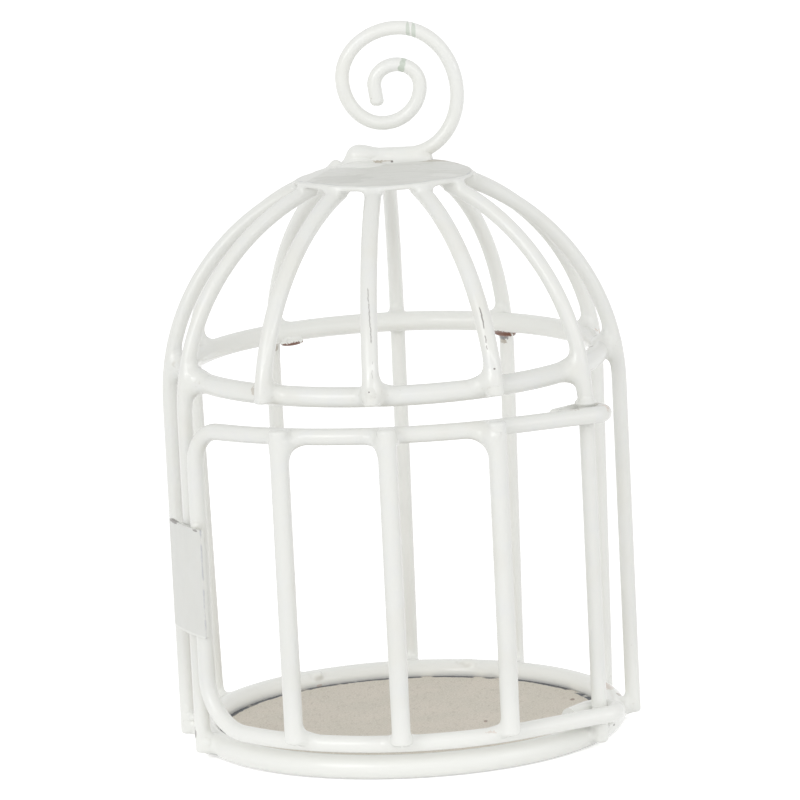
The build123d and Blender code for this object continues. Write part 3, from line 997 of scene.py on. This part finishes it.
# eggs of paint: the middle, half lengths and long way of each, in millimetres
crownEggs = [
    {"at": (-13.95, 20.5, 47.02), "half": (1.75, 0.55, 0.42), "along": (0.82, 0.572, 0)},
    {"at": (13.45, 24.0, 46.2), "half": (0.55, 0.5, 0.6)},
    {"at": (13.65, 22.6, 46.7), "half": (1.6, 0.6, 0.45), "along": (0.872, -0.489, 0)},
    {"at": (hingeIn.x - 0.1, hingeIn.y - 0.1, 44.15), "half": (1.32, 1.32, 0.4)},
    {"at": (-1.5, -28.9, 49.0), "half": (0.4, 0.4, 0.35)},
]
feetEggs = [
    {"at": (-27.6, -2.6, 3.2), "half": (0.5, 0.55, 0.5)},
    {"at": (-24.9, -12.6, 2.2), "half": (0.55, 0.5, 0.5)},
    {"at": (6.6, 24.4, 2.8), "half": (0.9, 0.45, 0.42), "along": (0.966, -0.259, 0)},
    {"at": (-13.0, 21.3, 2.6), "half": (0.6, 0.5, 0.4)},
    {"at": (25.6, -11.0, 2.6), "half": (0.6, 0.7, 0.45)},
]
footEggs = [
    {"at": (-6.45, 8.1, 71.75), "half": (0.72, 0.7, 0.75)},
    {"at": (-3.6, 9.15, 72.65), "half": (1.5, 1.1, 1.12), "pull": 1.8},
    {"at": (-3.3, 7.4, 71.8), "half": (1.3, 1.5, 0.32)},
]
latchEggs = [
    {"at": (uprightX / mm - 0.25, uprightY / mm - 0.85, latchHigh.z / mm + 0.25), "half": (0.6, 0.5, 0.5)},
]
drips = {  # what each sits on, its eggs, how far they pull and reach, its body and its paint
    "crown_drips": (fromHoopAndRibs(upperHoop), crownEggs, 0.7, 1.6, "cage", whitePaint),
    "feet_drips": (fromHoopAndRibs(baseHoop), feetEggs, 0.8, 1.6, "cage", hoopPaint),
    "scroll_foot_drips": (fromFoot, footEggs, 0.9, 3.4, "cage", scrollPaint),
    "latch_weld_bead": (fromUpright, latchEggs, 0.5, 1.6, "door", doorPaint),
}
for name, (shape, eggs, pull, reach, body, finish) in drips.items():
    beads = [beadOn(shape, egg, egg.get("pull", pull), reach) for egg in eggs]
    addPiece(name, beads, body, finish)
print("paint run in at the welds")


viewpoint = {
    "azimuth": 2.70, "elevation": 10.50, "roll": -2.84, "distance": 0.8, "nearest": 0.01, "farthest": 50,
    "lens": 284.8, "sensor": 36, "aimAcross": 0.62 * mm, "aimHeight": 42.67 * mm,
}


def setCamera():
    turn, lift, roll = (math.radians(viewpoint[key]) for key in ("azimuth", "elevation", "roll"))
    back = Vector((math.sin(turn) * math.cos(lift), -math.cos(turn) * math.cos(lift), math.sin(lift)))
    level = Vector((math.cos(turn), math.sin(turn), 0))
    up = level.cross(-back)
    right = math.cos(roll) * level + math.sin(roll) * up
    top = -math.sin(roll) * level + math.cos(roll) * up
    aim = viewpoint["aimAcross"] * level + Vector((0, 0, viewpoint["aimHeight"]))
    data = bpy.data.cameras.new("camera")
    data.lens = viewpoint["lens"]
    data.sensor_width = viewpoint["sensor"]
    data.clip_start = viewpoint["nearest"]
    data.clip_end = viewpoint["farthest"]
    camera = bpy.data.objects.new("camera", data)
    camera.matrix_world = Matrix.Translation(aim + viewpoint["distance"] * back) @ Matrix(
        (right, top, back)
    ).transposed().to_4x4()
    bpy.context.scene.collection.objects.link(camera)
    bpy.context.scene.camera = camera


studio = {"skyLight": 0.71, "skySeen": 1.0, "floorWhite": 0.98, "floorLift": 0.42, "floorReach": 3.0}
lamps = {  # round, or a strip where a height is given
    "key_lamp": {"at": (-0.90, -1.30, 0.62), "size": 0.9, "power": 5.0},
    "fill_lamp": {"at": (1.40, -0.65, 0.55), "size": 1.0, "power": 1.7},
    "strip_lamp": {"at": (0.25, -1.3, 0.545), "size": 4.0, "height": 0.075, "power": 4.0},
}


def backdropShare(tree):  # 1 for rays that see the backdrop itself or in a gloss
    path = tree.nodes.new("ShaderNodeLightPath")
    total = path.outputs["Is Camera Ray"]
    for name in ("Is Glossy Ray", "Is Transmission Ray"):
        most = tree.nodes.new("ShaderNodeMath")
        most.operation = "MAXIMUM"
        tree.links.new(total, most.inputs[0])
        tree.links.new(path.outputs[name], most.inputs[1])
        total = most.outputs[0]
    return total


def setSky():
    world = bpy.data.worlds.new("studio")
    bpy.context.scene.world = world
    tree = freshTree(world)
    soft = tree.nodes.new("ShaderNodeBackground")
    soft.inputs["Color"].default_value = (1, 1, 1, 1)
    soft.inputs["Strength"].default_value = studio["skyLight"]
    seen = tree.nodes.new("ShaderNodeBackground")
    seen.inputs["Color"].default_value = (1, 1, 1, 1)
    seen.inputs["Strength"].default_value = studio["skySeen"]
    blend = tree.nodes.new("ShaderNodeMixShader")
    output = tree.nodes.new("ShaderNodeOutputWorld")
    tree.links.new(backdropShare(tree), blend.inputs[0])
    tree.links.new(soft.outputs[0], blend.inputs[1])
    tree.links.new(seen.outputs[0], blend.inputs[2])
    tree.links.new(blend.outputs[0], output.inputs["Surface"])


def setFloor():
    mesh = bpy.data.meshes.new("floor")
    reach, white = studio["floorReach"], studio["floorWhite"]
    corners = [(-reach, -reach, 0), (reach, -reach, 0), (reach, reach, 0), (-reach, reach, 0)]
    mesh.from_pydata(corners, [], [(0, 1, 2, 3)])
    floor = bpy.data.objects.new("floor", mesh)
    bpy.context.scene.collection.objects.link(floor)
    material = bpy.data.materials.new("studio_floor")
    tree = freshTree(material)
    matt = tree.nodes.new("ShaderNodeBsdfDiffuse")
    matt.inputs["Color"].default_value = (white, white, white, 1)
    glow = tree.nodes.new("ShaderNodeEmission")
    lift = tree.nodes.new("ShaderNodeMath")
    lift.operation = "MULTIPLY"
    lift.inputs[1].default_value = studio["floorLift"]
    both = tree.nodes.new("ShaderNodeAddShader")
    output = tree.nodes.new("ShaderNodeOutputMaterial")
    tree.links.new(backdropShare(tree), lift.inputs[0])
    tree.links.new(lift.outputs[0], glow.inputs["Strength"])
    tree.links.new(matt.outputs[0], both.inputs[0])
    tree.links.new(glow.outputs[0], both.inputs[1])
    tree.links.new(both.outputs[0], output.inputs["Surface"])
    mesh.materials.append(material)


def addLamp(name, lamp):
    data = bpy.data.lights.new(name, "AREA")
    data.shape = "RECTANGLE" if "height" in lamp else "DISK"
    data.size = lamp["size"]
    if "height" in lamp:
        data.size_y = lamp["height"]
    data.energy = lamp["power"]
    light = bpy.data.objects.new(name, data)
    light.location = lamp["at"]
    aim = Vector((0, 0, cadBox[1].z / 2))
    light.rotation_euler = (aim - Vector(lamp["at"])).to_track_quat("-Z", "Y").to_euler()
    bpy.context.scene.collection.objects.link(light)


setCamera()
setSky()
setFloor()
for name, lamp in lamps.items():
    addLamp(name, lamp)
bpy.context.scene.view_settings.view_transform = "Standard"
print("studio lit")
